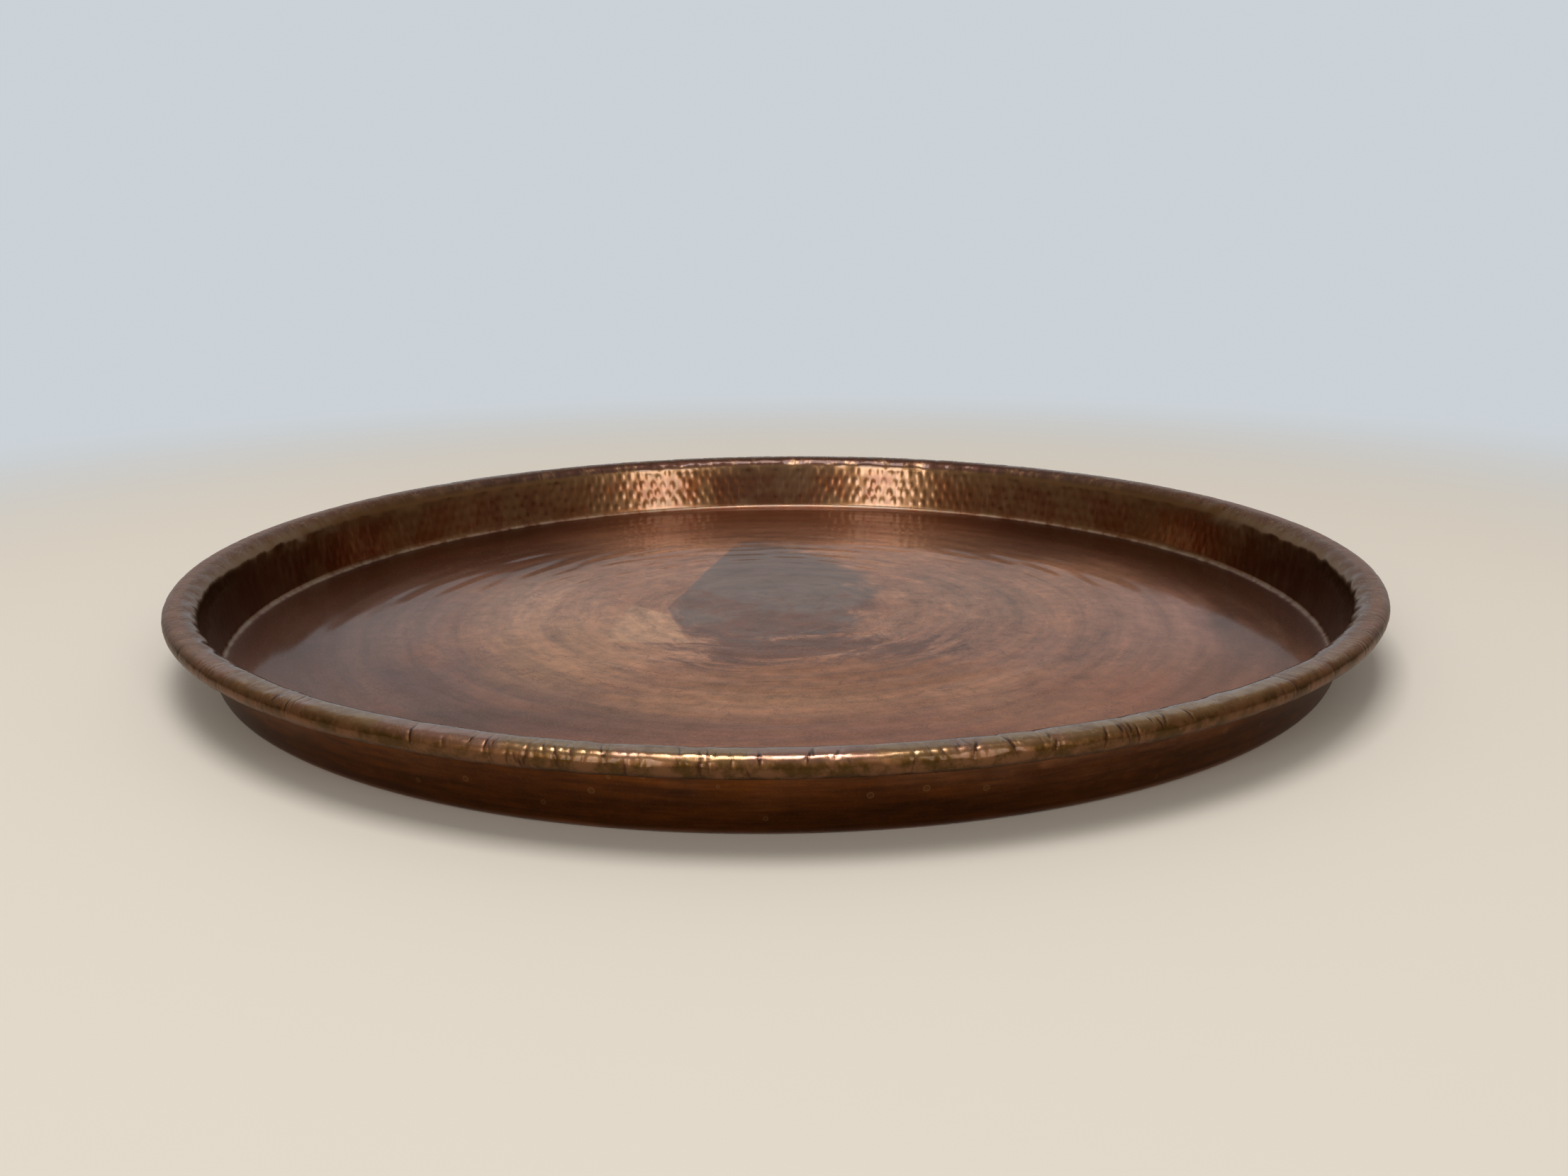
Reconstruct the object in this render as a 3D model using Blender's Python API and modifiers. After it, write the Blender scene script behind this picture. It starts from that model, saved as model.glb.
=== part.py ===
"""Round copper tray with a low flared wall and a rolled, wired rim.

The tray is one raised copper sheet whose edge is rolled over an iron wire. Metres, +Z up.
The origin is the centre of the flat underside, so the tray stands on z = 0.
"""

import math

import bpy
from mathutils import Vector

# Driving dimensions
RIM_RADIUS = 0.360  # outermost point of the rolled rim
HEIGHT = 0.044  # from the underside to the crest of the rim
BASE_RADIUS = 0.336  # where the wall's outer face, carried straight down, would meet the underside
WALL_FLARE = math.radians(10)  # how far the wall leans outwards from upright
SHEET = 0.0012  # thickness of the copper
CORNER_BEND = 0.005  # outside radius of the bend between floor and wall
SHOULDER_BEND = 0.010  # outside radius of the bend from the wall up to the crest
WIRE_RADIUS = 0.004
WIRE_GAP = 0.0003  # clearance between the wire and the sheet rolled over it
WIRE_END_GAP = 0.002  # opening between the wire's two cut ends
LIP_GAP = 0.0004  # clearance between the sheet's cut edge and the wall

# The sheet is drawn along the middle of its thickness
HALF_SHEET = SHEET / 2
CORNER_MIDDLE = CORNER_BEND - HALF_SHEET
SHOULDER_MIDDLE = SHOULDER_BEND - HALF_SHEET
ROLL_MIDDLE = WIRE_RADIUS + WIRE_GAP + HALF_SHEET
WIRE_RING_RADIUS = RIM_RADIUS - HALF_SHEET - ROLL_MIDDLE
WIRE_HEIGHT = HEIGHT - HALF_SHEET - ROLL_MIDDLE

# Facets
TURN_STEPS = 80  # round the tray, shared by the sheet and the wire so that their facets stay parallel
CORNER_STEPS = 4
SHOULDER_STEPS = 5
ROLL_STEPS = 12
WIRE_BEVEL_RESOLUTION = 3
MERGE_DISTANCE = 1e-5

# Finishes: linear colour and roughness of the bare metals
COPPER_COLOUR = (0.27, 0.11, 0.055)
COPPER_ROUGHNESS = 0.3
IRON_COLOUR = (0.2, 0.19, 0.18)
IRON_ROUGHNESS = 0.6

COLLECTION_NAME = "hammered_copper_tray"


def clear_scene():
    for obj in list(bpy.data.objects):
        bpy.data.objects.remove(obj)


def metal(name, colour, roughness):
    """A Principled BSDF of a bare metal."""
    material = bpy.data.materials.new(name)
    material.use_nodes = True
    shader = material.node_tree.nodes["Principled BSDF"]
    shader.inputs["Base Color"].default_value = (*colour, 1.0)
    shader.inputs["Metallic"].default_value = 1.0
    shader.inputs["Roughness"].default_value = roughness
    return material


def arc(centre, radius, start, end, steps):
    """Points of a circular arc in the (radius, height) half-plane, from angle start to angle end."""
    angles = (start + (end - start) * i / steps for i in range(steps + 1))
    return [(centre[0] + radius * math.cos(a), centre[1] + radius * math.sin(a)) for a in angles]


def wall_middle(height):
    """Radius of the middle of the wall's thickness at a height."""
    return BASE_RADIUS + height * math.tan(WALL_FLARE) - HALF_SHEET / math.cos(WALL_FLARE)


def sheet_profile():
    """The sheet's section as (radius, height) points, from the centre of the floor to the lip's cut edge."""
    upright = math.radians(90)
    corner_height = HALF_SHEET + CORNER_MIDDLE
    corner_end_height = corner_height - CORNER_MIDDLE * math.sin(WALL_FLARE)
    corner_radius = wall_middle(corner_end_height) - CORNER_MIDDLE * math.cos(WALL_FLARE)
    corner = arc((corner_radius, corner_height), CORNER_MIDDLE, -upright, -WALL_FLARE, CORNER_STEPS)

    shoulder_height = HEIGHT - HALF_SHEET - SHOULDER_MIDDLE
    shoulder_start_height = shoulder_height + SHOULDER_MIDDLE * math.sin(WALL_FLARE)
    shoulder_radius = wall_middle(shoulder_start_height) + SHOULDER_MIDDLE * math.cos(WALL_FLARE)
    shoulder = arc(
        (shoulder_radius, shoulder_height), SHOULDER_MIDDLE, 2 * upright - WALL_FLARE, upright, SHOULDER_STEPS
    )

    roll_end = -upright - WALL_FLARE
    roll = arc((WIRE_RING_RADIUS, WIRE_HEIGHT), ROLL_MIDDLE, upright, roll_end, ROLL_STEPS)
    return [(0.0, HALF_SHEET), *corner, *shoulder, *roll, lip_edge(roll[-1])]


def lip_edge(roll_end):
    """End of the lip, which runs from the roll square towards the wall and stops just short of its outer face."""
    inwards = (-math.cos(WALL_FLARE), math.sin(WALL_FLARE))
    across_to_wall = (roll_end[0] - wall_middle(roll_end[1])) * math.cos(WALL_FLARE)
    length = across_to_wall - HALF_SHEET - LIP_GAP
    return (roll_end[0] + inwards[0] * length, roll_end[1] + inwards[1] * length)


def make_tray_sheet(collection, material):
    """The floor, wall, shoulder and rolled rim, raised from a single sheet."""
    points = sheet_profile()
    mesh = bpy.data.meshes.new("tray_sheet")
    mesh.from_pydata(
        [(radius, 0.0, height) for radius, height in points],
        [(i, i + 1) for i in range(len(points) - 1)],
        [],
    )
    mesh.materials.append(material)
    sheet = bpy.data.objects.new("tray_sheet", mesh)
    collection.objects.link(sheet)

    turn = sheet.modifiers.new("Turn", "SCREW")
    turn.steps = TURN_STEPS
    turn.render_steps = TURN_STEPS
    turn.use_merge_vertices = True
    turn.merge_threshold = MERGE_DISTANCE
    turn.use_smooth_shade = True

    thicken = sheet.modifiers.new("Thicken", "SOLIDIFY")
    thicken.thickness = SHEET
    thicken.offset = 0.0
    thicken.use_even_offset = True
    return sheet


def wire_points():
    """Corners of the wire's centre line: one for each facet of the tray, with the last facet cut short."""
    step = 2 * math.pi / TURN_STEPS
    ring = [
        Vector((WIRE_RING_RADIUS * math.cos(i * step), WIRE_RING_RADIUS * math.sin(i * step), 0.0))
        for i in range(TURN_STEPS + 1)
    ]
    last_facet = ring[-1] - ring[-2]
    ring[-1] -= last_facet.normalized() * WIRE_END_GAP
    return ring


def make_rim_wire(collection, material):
    """The stiffening wire inside the rolled rim, bent to a ring with its cut ends facing each other."""
    points = wire_points()
    curve = bpy.data.curves.new("rim_wire", "CURVE")
    curve.dimensions = "3D"
    curve.bevel_depth = WIRE_RADIUS
    curve.bevel_resolution = WIRE_BEVEL_RESOLUTION
    curve.use_fill_caps = True
    curve.materials.append(material)
    line = curve.splines.new("POLY")
    line.points.add(len(points) - 1)
    for corner, point in zip(line.points, points):
        corner.co = (*point, 1.0)
    line.use_smooth = True
    wire = bpy.data.objects.new("rim_wire", curve)
    wire.location.z = WIRE_HEIGHT
    collection.objects.link(wire)
    return wire


def main():
    clear_scene()
    collection = bpy.data.collections.new(COLLECTION_NAME)
    bpy.context.scene.collection.children.link(collection)
    copper = metal("copper", COPPER_COLOUR, COPPER_ROUGHNESS)
    iron = metal("iron", IRON_COLOUR, IRON_ROUGHNESS)
    make_tray_sheet(collection, copper)
    make_rim_wire(collection, iron)


main()
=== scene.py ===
"""Looks for the round hammered copper tray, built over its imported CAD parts.

The copper sheet is one closed mesh turned round the tray's axis, with the hammer marks in its shape. The
iron wire in the rim is the CAD node itself. Metres, +Z up, with the centre of the underside at the origin.
"""

import math
from collections import namedtuple

import bpy
import numpy as np
from mathutils import Matrix, Vector


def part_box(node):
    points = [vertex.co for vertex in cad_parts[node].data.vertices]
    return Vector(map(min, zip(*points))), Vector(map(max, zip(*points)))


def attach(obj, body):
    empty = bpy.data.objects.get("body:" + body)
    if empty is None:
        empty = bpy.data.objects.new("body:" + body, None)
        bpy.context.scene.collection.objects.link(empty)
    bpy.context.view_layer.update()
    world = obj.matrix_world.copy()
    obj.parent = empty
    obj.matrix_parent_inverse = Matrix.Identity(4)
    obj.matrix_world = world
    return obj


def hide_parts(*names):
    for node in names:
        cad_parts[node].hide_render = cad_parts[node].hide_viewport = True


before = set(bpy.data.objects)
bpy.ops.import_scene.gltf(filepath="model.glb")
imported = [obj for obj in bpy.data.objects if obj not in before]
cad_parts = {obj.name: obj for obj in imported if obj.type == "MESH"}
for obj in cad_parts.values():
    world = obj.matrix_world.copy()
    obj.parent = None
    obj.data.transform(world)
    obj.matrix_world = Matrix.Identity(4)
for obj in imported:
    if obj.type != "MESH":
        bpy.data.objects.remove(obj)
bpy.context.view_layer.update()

# The sheet's section, as the CAD part draws it
RIM_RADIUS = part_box("tray_sheet")[1].x
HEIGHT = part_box("tray_sheet")[1].z
BASE_RADIUS = 0.336
WALL_FLARE = math.radians(10)
SHEET = 0.0012
CORNER_BEND = 0.005
SHOULDER_BEND = 0.01
WIRE_ROLL = 0.0055  # outside radius of the sheet rolled over the wire
LIP_GAP = 0.0004

HALF_SHEET = SHEET / 2
UPRIGHT = math.radians(90)
ROLL_MIDDLE = WIRE_ROLL - HALF_SHEET
CORNER_MIDDLE = CORNER_BEND - HALF_SHEET
SHOULDER_MIDDLE = SHOULDER_BEND - HALF_SHEET
TOP, UNDER = 1, -1  # the two faces of the sheet

# Hammer blows, in metres, in rows that run round the tray. scatter is how far a blow strays from its place
# and reach is its radius, both as shares of the spacing. length is how much longer a blow is across the rows.
Blows = namedtuple("Blows", "spacing rows scatter reach length depth")
WALL_BLOWS = Blows(spacing=0.0082, rows=7, scatter=0.22, reach=0.39, length=1.35, depth=0.00019)
OUTSIDE_BLOWS = Blows(spacing=0.012, rows=5, scatter=0.3, reach=0.62, length=1.0, depth=0.00006)
BLOW_WEIGHTS = (0.55, 1.0)  # of the lightest blow and the hardest
BLOW_FALL = 1.5  # power of the fall in depth from a blow's middle to its edge
SIDE_MARKS = 0.5  # depth of the marks at the tray's left and right, as a share of those at its front and back
SIDE_TURN = (0.55, 0.85)  # shares of the way out to the left or right between which they lose that depth

# Flats beaten on the rolled rim, in rows from just inside its crest to the underside of the roll
FLAT_SPACING = 0.009
FLAT_ROWS = 5
FLAT_LEAD = 0.004  # distance from the first row's edge to the crest
FLAT_SCATTER = 0.45  # how far a flat strays from its place, as a share of the spacing
FLAT_DEPTHS = (0.00005, 0.00034)
FLAT_LENGTH_CURVE = 0.075  # radius of a flat's surface along the rim

# Short creases across the rim, in loose clusters. Their places are distances past the crest.
CREASE_CLUSTERS = 230
CREASES_PER_CLUSTER = (1, 5)
CREASE_SPREAD = 0.022  # of a cluster, in radians round the tray
CREASE_WIDTHS = (0.0006, 0.0011)
CREASE_DEPTHS = (0.00008, 0.00036)
CREASE_SLANT = 0.35  # most that a crease moves along the rim for each metre across it
CREASE_MIDDLES = (0.001, 0.014)
CREASE_REACHES = (0.003, 0.009)  # from a crease's middle to where a third of its depth is left

# Smooth unevenness, as sums of waves: how many, the most of them round the tray, their lengths from crest to
# crest outwards from the centre, and their height
Waves = namedtuple("Waves", "count most_turns lengths height")
FLOOR_WAVES = Waves(18, 18, (0.014, 0.026), 0.00009)
FLOOR_SWELL = Waves(8, 6, (0.07, 0.2), 0.00022)
RIM_SWELL = Waves(10, 40, (0.03, 0.08), 0.0001)
SCALLOPS = Waves(16, 110, (0.02, 0.06), 0.00035)  # of the shoulder, which wanders in and out

SEED = 7  # of every random place, size and depth
SHARP_ANGLE = math.radians(50)  # between faces, above which an edge is shaded sharp

# The camera, as shares of the rim's radius and in degrees
CAMERA_BACK = 2.281
CAMERA_UP = 0.6447
CAMERA_DOWN_TILT = 14.83
CAMERA_YAW = 0.32
CAMERA_ROLL = -0.53
CAMERA_LENS = 30.12  # millimetres, on the usual 36 mm wide sensor

# The studio, in linear colours, and the radii between which the stage that the tray stands on fades out
BACKDROP = (0.6, 0.645, 0.685)
CEILING = (0.5, 0.48, 0.46)
ROOM_MIDDLE, ROOM_SIDE, ROOM_FLOOR = (0.42, 0.39, 0.36), (0.36, 0.3, 0.22), (0.03, 0.025, 0.02)
STAGE_COLOUR = (0.545, 0.5, 0.435)
STAGE_FADE = (0.55, 1.3)
STAGE_CORNERS = 96
STAGE_ROUGHNESS = 0.8

# Where the room's parts meet, as directions seen from the tray: x to the side, y ahead and z up
ROOM_SIDE_X, ROOM_FLOOR_Z, CEILING_Z = (0.16, 0.34), (0.02, 0.14), (0.5, 0.9)
BACKDROP_TOP_Z, BACKDROP_Y = (0.4, 0.9), (0.4, 0.8)

# Soft boxes that face the tray: degrees round from the camera's side towards +X, degrees up, metres and watts
Lamp = namedtuple("Lamp", "name azimuth elevation away width height power")
LAMPS = [
    Lamp("lamp_left", -29, 24, 4.0, 0.75, 2.2, 46),
    Lamp("lamp_right", 31, 24, 4.0, 0.75, 2.2, 36),
    Lamp("lamp_over", -24, 80, 2.6, 1.3, 1.2, 48),
]

# Colours of the copper, as linear reflectances at the front of a surface
SKIN_DARK, SKIN_LIGHT, SKIN_OUTER = (0.13, 0.055, 0.04), (0.27, 0.1, 0.048), (0.07, 0.018, 0.007)
WORN_DARK, WORN_LIGHT, WORN_BRIGHT = (0.42, 0.19, 0.105), (0.5, 0.25, 0.145), (0.66, 0.38, 0.22)
PATCH_GREY, PATCH_BROWN = (0.18, 0.128, 0.11), (0.17, 0.072, 0.046)
WALL_DARK, WALL_LIGHT = (0.12, 0.038, 0.012), (0.17, 0.06, 0.02)
WALL_SMEAR, WALL_GOLD = (0.34, 0.18, 0.12), (0.19, 0.102, 0.046)
WALL_SIDE_SHADE = 0.85  # of the wall's brightness at the left and right, where shade is painted on
RIM_GOLD, RIM_PINK = (0.3, 0.172, 0.075), (0.32, 0.158, 0.115)
RIM_SIDE = (0.22, 0.08, 0.045)
RIM_BACK_SHADE = 0.55  # of the rim's brightness at the back, where shade is painted on
# The second of these darkens the rim's creases and dents: dirt, and partly painted shade
RIM_BROWN, RIM_HOLLOW_DIRT_AND_SHADE, RIM_PALE = (0.15, 0.066, 0.028), (0.05, 0.018, 0.006), (0.46, 0.34, 0.2)
# The last of these is painted shade, laid on the shoulder at the back of the tray
RIM_UNDER, SHOULDER_PINK, SHOULDER_SHADE = (0.066, 0.031, 0.006), (0.125, 0.052, 0.034), (0.06, 0.024, 0.015)
OUTSIDE_DARK, OUTSIDE_LIGHT = (0.066, 0.017, 0.0012), (0.1, 0.027, 0.002)
OUTSIDE_GREY_PURPLE, OUTSIDE_DROP = (0.12, 0.052, 0.026), (0.2, 0.11, 0.045)
UNDERSIDE_DARK, UNDERSIDE_LIGHT = (0.1, 0.042, 0.022), (0.2, 0.085, 0.045)
GRAIN, FLOOR_GRAIN, WALL_GRAIN = (0.42, 0.2, 0.11), 0.34, 0.04  # with how strongly it shows
# Dust in the corner at the foot of the wall, partly a painted highlight of the bend there, with how strongly
# it shows
DUST_AND_SHEEN, DUST_AND_SHEEN_STRENGTH = (0.21, 0.2, 0.155), 0.36
SLANT_TINT = (0.72, 0.66, 0.62)  # of the metal seen at a shallow angle

# Coat weights and roughness of the wax over the copper
WAX, WAX_WORN, WAX_BACK, WAX_WALL, WAX_RIM, WAX_OUTSIDE = 0.46, 0.36, 0.22, 0.5, 0.6, 0.15
WAX_RIM_SIDES = 0.18
WAX_FRONT_SHARE = 0.65  # of the floor's wax that is left at the front
WAX_ROUGHNESS = 0.08

# Roughness of the copper, from smooth streaks to rough ones or from polish to tarnish
WORN_ROUGHNESS, RIM_ROUGHNESS, OUTSIDE_ROUGHNESS = (0.4, 0.52), (0.13, 0.32), (0.25, 0.42)
SKIN_ROUGHNESS = 0.42
SHOULDER_ROUGHNESS, WALL_ROUGHNESS, RIM_UNDER_ROUGHNESS, DUST_ROUGHNESS = (0.2, 0.45), 0.23, 0.42, 0.8
RIM_SIDE_ROUGHNESS = 0.38
DUST_METALLIC = 0.2

# Bump of the copper: how strong the fine rings are on the skin and where it is worn, and the fine grooves
# across the rim at the front and back and at the sides
SKIN_BUMP, WORN_BUMP, RIM_BUMP, RIM_SIDE_BUMP = 0.015, 0.06, 0.14, 0.05
BUMP_DISTANCE = 0.0005

# The iron wire, bare and rusty
IRON, IRON_ROUGHNESS, IRON_METALLIC = (0.16, 0.15, 0.14), 0.42, 0.9
RUST, RUST_ROUGHNESS, RUST_METALLIC = (0.17, 0.07, 0.03), 0.85, 0.2

# Water drops' marks on the outside
DROP_SPACING = 0.022
DROP_RADII = (0.0008, 0.0017)
DROP_LINE = (0.75, 0.95, 0.12)  # the ring round a drop: its inner and outer edge and softness, in radii

# Stretches of the tray over which its look changes, in metres from its middle to either side or to its back
RIM_SIDES, WALL_SIDES, OUTER_SIDES = (0.18, 0.32), (0.2, 0.33), (0.08, 0.22)
BACK, FAR_RIM, FLOOR_BACK = (0.1, 0.3), (0.22, 0.32), (0.16, 0.24)
FLOOR_FRONT, OUTER_FRONT = (-0.22, -0.02), (-0.2, -0.06)

# Radii beyond which noises that run round the hub stretch out: for thin streaks, broad ones and close rings
STREAK_RADIUS, BROAD_RADIUS, RING_RADIUS = 0.035, 0.09, 0.012

# The worn middle of the floor, and the dark outer ring
WORN_CENTRE, WORN_HALVES, WORN_FADE = (0.01, 0.0), (0.31, 0.31), (0.5, 1.1)
OUTER_RADII, OUTER_WANDER, OUTER_STRENGTH = (0.26, 0.31), 0.08, 0.95

# How much each noise lightens the floor, and how much of that shows where it isn't worn
SHADE_START, SHADE_LINES, SHADE_MOTTLE, SHADE_GRAIN, SHADE_RINGS = -1.45, 1.5, 1.2, 0.9, 1.3
SKIN_SHADE = 0.35

# Clouds of colour on the floor, its dark patch, which is an oval cut off by two straight edges on its left,
# and a bright wedge beside the patch. Ovals fade out over a stretch given as shares of their half-widths.
# streaked is how far a cloud is broken up into streaks, and wander how far a border strays with the noise.
Tint = namedtuple("Tint", "centre halves colour streaked strength")
FLOOR_TINTS = [
    Tint((0.0, 0.25), (0.17, 0.07), (0.17, 0.05, 0.018), 0.2, 0.7),
    Tint((-0.22, 0.16), (0.12, 0.1), (0.08, 0.018, 0.005), 0.1, 0.9),
    Tint((0.22, 0.18), (0.12, 0.09), (0.1, 0.032, 0.013), 0.1, 0.85),
    Tint((-0.29, 0.09), (0.07, 0.13), (0.08, 0.022, 0.008), 0.1, 0.9),
    Tint((0.3, 0.1), (0.06, 0.13), (0.085, 0.025, 0.01), 0.1, 0.9),
    Tint((0.14, 0.04), (0.06, 0.1), (0.3, 0.15, 0.095), 0.4, 0.6),
    Tint((0.25, -0.04), (0.07, 0.1), (0.42, 0.195, 0.135), 0.2, 0.7),
    Tint((-0.26, -0.05), (0.09, 0.15), (0.19, 0.105, 0.085), 0.1, 0.8),
    Tint((-0.155, 0.02), (0.05, 0.1), (0.5, 0.29, 0.19), 0.4, 0.6),
    Tint((-0.19, -0.15), (0.13, 0.08), (0.175, 0.09, 0.074), 0.3, 0.9),
    Tint((-0.12, -0.21), (0.11, 0.04), (0.1, 0.055, 0.044), 0.3, 0.85),
    Tint((0.0, -0.24), (0.24, 0.06), (0.26, 0.1, 0.06), 0.4, 0.75),
    Tint((0.15, -0.09), (0.11, 0.06), (0.28, 0.13, 0.09), 0.5, 0.7),
    Tint((0.2, -0.17), (0.09, 0.05), (0.36, 0.13, 0.07), 0.5, 0.7),
    Tint((-0.12, -0.09), (0.06, 0.09), (0.46, 0.235, 0.12), 0.3, 0.7),
    Tint((0.02, -0.14), (0.12, 0.05), (0.31, 0.122, 0.052), 0.5, 0.85),
    Tint((-0.02, -0.18), (0.09, 0.03), (0.5, 0.24, 0.115), 0.5, 0.6),
]
TINT_FADE, TINT_WANDER = (0.3, 1.15), 0.9
SMEAR_CENTRE, SMEAR_HALVES, SMEAR_COLOUR = (0.02, -0.088), (0.085, 0.032), (0.14, 0.055, 0.034)
SMEAR_FADE, SMEAR_WANDER = (0.5, 1.25), 4.5
PATCH_CENTRE, PATCH_HALVES = (-0.01, 0.05), (0.074, 0.134)
PATCH_FADE, PATCH_WANDER = (0.82, 1.12), 0.6
Edge = namedtuple("Edge", "start end soft wander")
PATCH_EDGES = [
    Edge((-0.072, 0.002), (-0.036, 0.17), 0.0012, 0.006),
    Edge((-0.054, -0.062), (-0.072, 0.002), 0.0015, 0.012),
]
WEDGE_EDGES = [
    Edge((-0.091, 0.0085), (-0.074, -0.009), 0.001, 0.004),
    Edge((-0.072, 0.0), (-0.059, -0.049), 0.001, 0.004),
    Edge((-0.06, -0.071), (-0.098, -0.071), 0.004, 0.02),
    Edge((-0.1, -0.07), (-0.093, 0.0085), 0.005, 0.02),
]

Ring = namedtuple("Ring", "radius height normal distance columns")


def smooth_step(value, low, high):
    """0 below low, 1 above high and a smooth rise between."""
    t = np.clip((value - low) / (high - low), 0.0, 1.0)
    return t * t * (3.0 - 2.0 * t)


# ---- The sheet's section ----


def wall_middle(height):
    """Radius of the middle of the wall's thickness at a height."""
    return BASE_RADIUS + height * math.tan(WALL_FLARE) - HALF_SHEET / math.cos(WALL_FLARE)


def bend_centre(height, bend, side):
    """Centre of a bend that the wall runs into. side is -1 for a bend inside the wall, 1 for one outside."""
    touch_height = height + side * bend * math.sin(WALL_FLARE)
    return np.array([wall_middle(touch_height) + side * bend * math.cos(WALL_FLARE), height])


CORNER = bend_centre(HALF_SHEET + CORNER_MIDDLE, CORNER_MIDDLE, -1)
SHOULDER = bend_centre(HEIGHT - HALF_SHEET - SHOULDER_MIDDLE, SHOULDER_MIDDLE, 1)
WIRE = np.array([RIM_RADIUS - WIRE_ROLL, HEIGHT - WIRE_ROLL])

# Distances along the top face from the centre of the floor
CORNER_START = CORNER[0]
WALL_START = CORNER_START + (CORNER_MIDDLE - HALF_SHEET) * (UPRIGHT - WALL_FLARE)
WALL_RISE = SHOULDER[1] - CORNER[1] + (SHOULDER_MIDDLE + CORNER_MIDDLE) * math.sin(WALL_FLARE)
WALL_LENGTH = WALL_RISE / math.cos(WALL_FLARE)
SHOULDER_START = WALL_START + WALL_LENGTH
CREST = SHOULDER_START + SHOULDER_BEND * (UPRIGHT - WALL_FLARE)
ROLL_END = CREST + (WIRE[0] - SHOULDER[0]) + WIRE_ROLL * (2 * UPRIGHT + WALL_FLARE)

# Where each kind of mark is: it grows between the first two distances and fades between the last two
FLOOR_MARKS = (0.0, 0.03, CORNER_START - 0.03, CORNER_START)
WALL_MARKS = (WALL_START, WALL_START + 0.003, CREST - 0.009, CREST - 0.003)
RIM_MARKS = (CREST - 0.008, CREST - 0.002, ROLL_END - 0.003, ROLL_END)
SHOULDER_MARKS = (SHOULDER_START - 0.006, SHOULDER_START + 0.006, CREST - 0.008, CREST - 0.001)
OUTSIDE_MARKS_RADIUS = BASE_RADIUS + 0.006  # up to which the wall's outer face has marks
OUTWARDS = 0.9  # least outward part of the direction in which that face points

# Distances along the sheet over which one part's look gives way to the next
INTO_WALL = (CORNER_START - 0.002, WALL_START)
INTO_WALL_TOP = (SHOULDER_START - 0.012, SHOULDER_START + 0.004)
INTO_RIM = (SHOULDER_START + 0.002, CREST - 0.004)
INTO_POLISH = (CREST - 0.003, CREST + 0.001)
INTO_UNDER_BEAD = (CREST + 0.0045, CREST + 0.0105)
INTO_OUTSIDE = (ROLL_END - 0.002, ROLL_END + 0.001)
UNDERSIDE_HEIGHTS = (0.004, 0.0003)  # over which the outside gives way to the underside

# Narrow lines round the sheet: where they start and end, and how soft they are
# The pale line in the corner: a dusty deposit, and partly a painted highlight of the bend
DUST_AND_SHEEN_LINE = (CORNER_START + 0.001, WALL_START - 0.001, 0.0016)
# Where shade is painted on the shoulder at the back, which is also rougher there
DULL_SHADE_LINE = (SHOULDER_START + 0.002, CREST - 0.004, 0.002)


def arc(centre, radius, start, end, steps, facing):
    """Points and outward directions of a bend. facing is 1 where the surface faces away from the centre."""
    angles = np.linspace(start, end, steps + 1)
    spokes = np.stack([np.cos(angles), np.sin(angles)], axis=1)
    return centre + radius * spokes, facing * spokes


def between(start, end, steps):
    """Points between two bends, and the direction the line faces when its left side is the outside."""
    shares = np.arange(1, steps)[:, None] / steps
    run = (end - start) / np.linalg.norm(end - start)
    return start + (end - start) * shares, np.repeat([[-run[1], run[0]]], steps - 1, axis=0)


def face_section(face, steps):
    """Points and directions of one face of the sheet, from the centre of the floor to the lip's cut edge."""
    half = face * HALF_SHEET
    corner = arc(CORNER, CORNER_MIDDLE - half, -UPRIGHT, -WALL_FLARE, steps.corner, -face)
    shoulder = arc(SHOULDER, SHOULDER_MIDDLE + half, 2 * UPRIGHT - WALL_FLARE, UPRIGHT, steps.shoulder, face)
    roll = arc(WIRE, ROLL_MIDDLE + half, UPRIGHT, -UPRIGHT - WALL_FLARE, steps.roll, face)
    centre = np.array([steps.hub, HALF_SHEET + half])
    inwards = np.array([-math.cos(WALL_FLARE), math.sin(WALL_FLARE)])
    roll_middle = WIRE + ROLL_MIDDLE * np.array([-math.sin(WALL_FLARE), -math.cos(WALL_FLARE)])
    lip = (roll_middle[0] - wall_middle(roll_middle[1])) * math.cos(WALL_FLARE) - HALF_SHEET - LIP_GAP
    lip_end = roll[0][-1] + inwards * lip
    sections = [
        (centre[None, :], np.array([[0.0, float(face)]])),
        facing(between(centre, corner[0][0], steps.floor), face),
        corner,
        facing(between(corner[0][-1], shoulder[0][0], steps.wall), face),
        shoulder,
        roll,
        facing(between(roll[0][-1], lip_end, steps.lip), face),
        (lip_end[None, :], facing(between(roll[0][-1], lip_end, 2), face)[1]),
    ]
    points = np.concatenate([s[0] for s in sections])
    normals = np.concatenate([s[1] for s in sections])
    return points, normals


def facing(section, face):
    """A section whose directions point out of a face of the sheet."""
    return section[0], section[1] * face


# Parts into which each stretch of the section is divided, with the radius of the innermost ring first
Steps = namedtuple("Steps", "hub floor corner wall shoulder roll lip")
TOP_STEPS = Steps(hub=0.002, floor=112, corner=4, wall=20, shoulder=7, roll=16, lip=1)
UNDER_STEPS = Steps(hub=0.004, floor=12, corner=3, wall=7, shoulder=3, roll=6, lip=1)

# Facets round the tray, from the wall and rim in to the hub, each with the radius beyond which it holds
TOP_COLUMNS = ((CORNER_START - 0.002, 2880), (0.11, 240), (0.035, 120), (0.0, 60))
UNDER_COLUMNS = ((CORNER_START - 0.001, 480), (0.06, 160), (0.0, 80))


def columns_at(radius, columns):
    """How many facets go round the tray at a radius."""
    return next(count for least, count in columns if radius > least)


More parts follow.
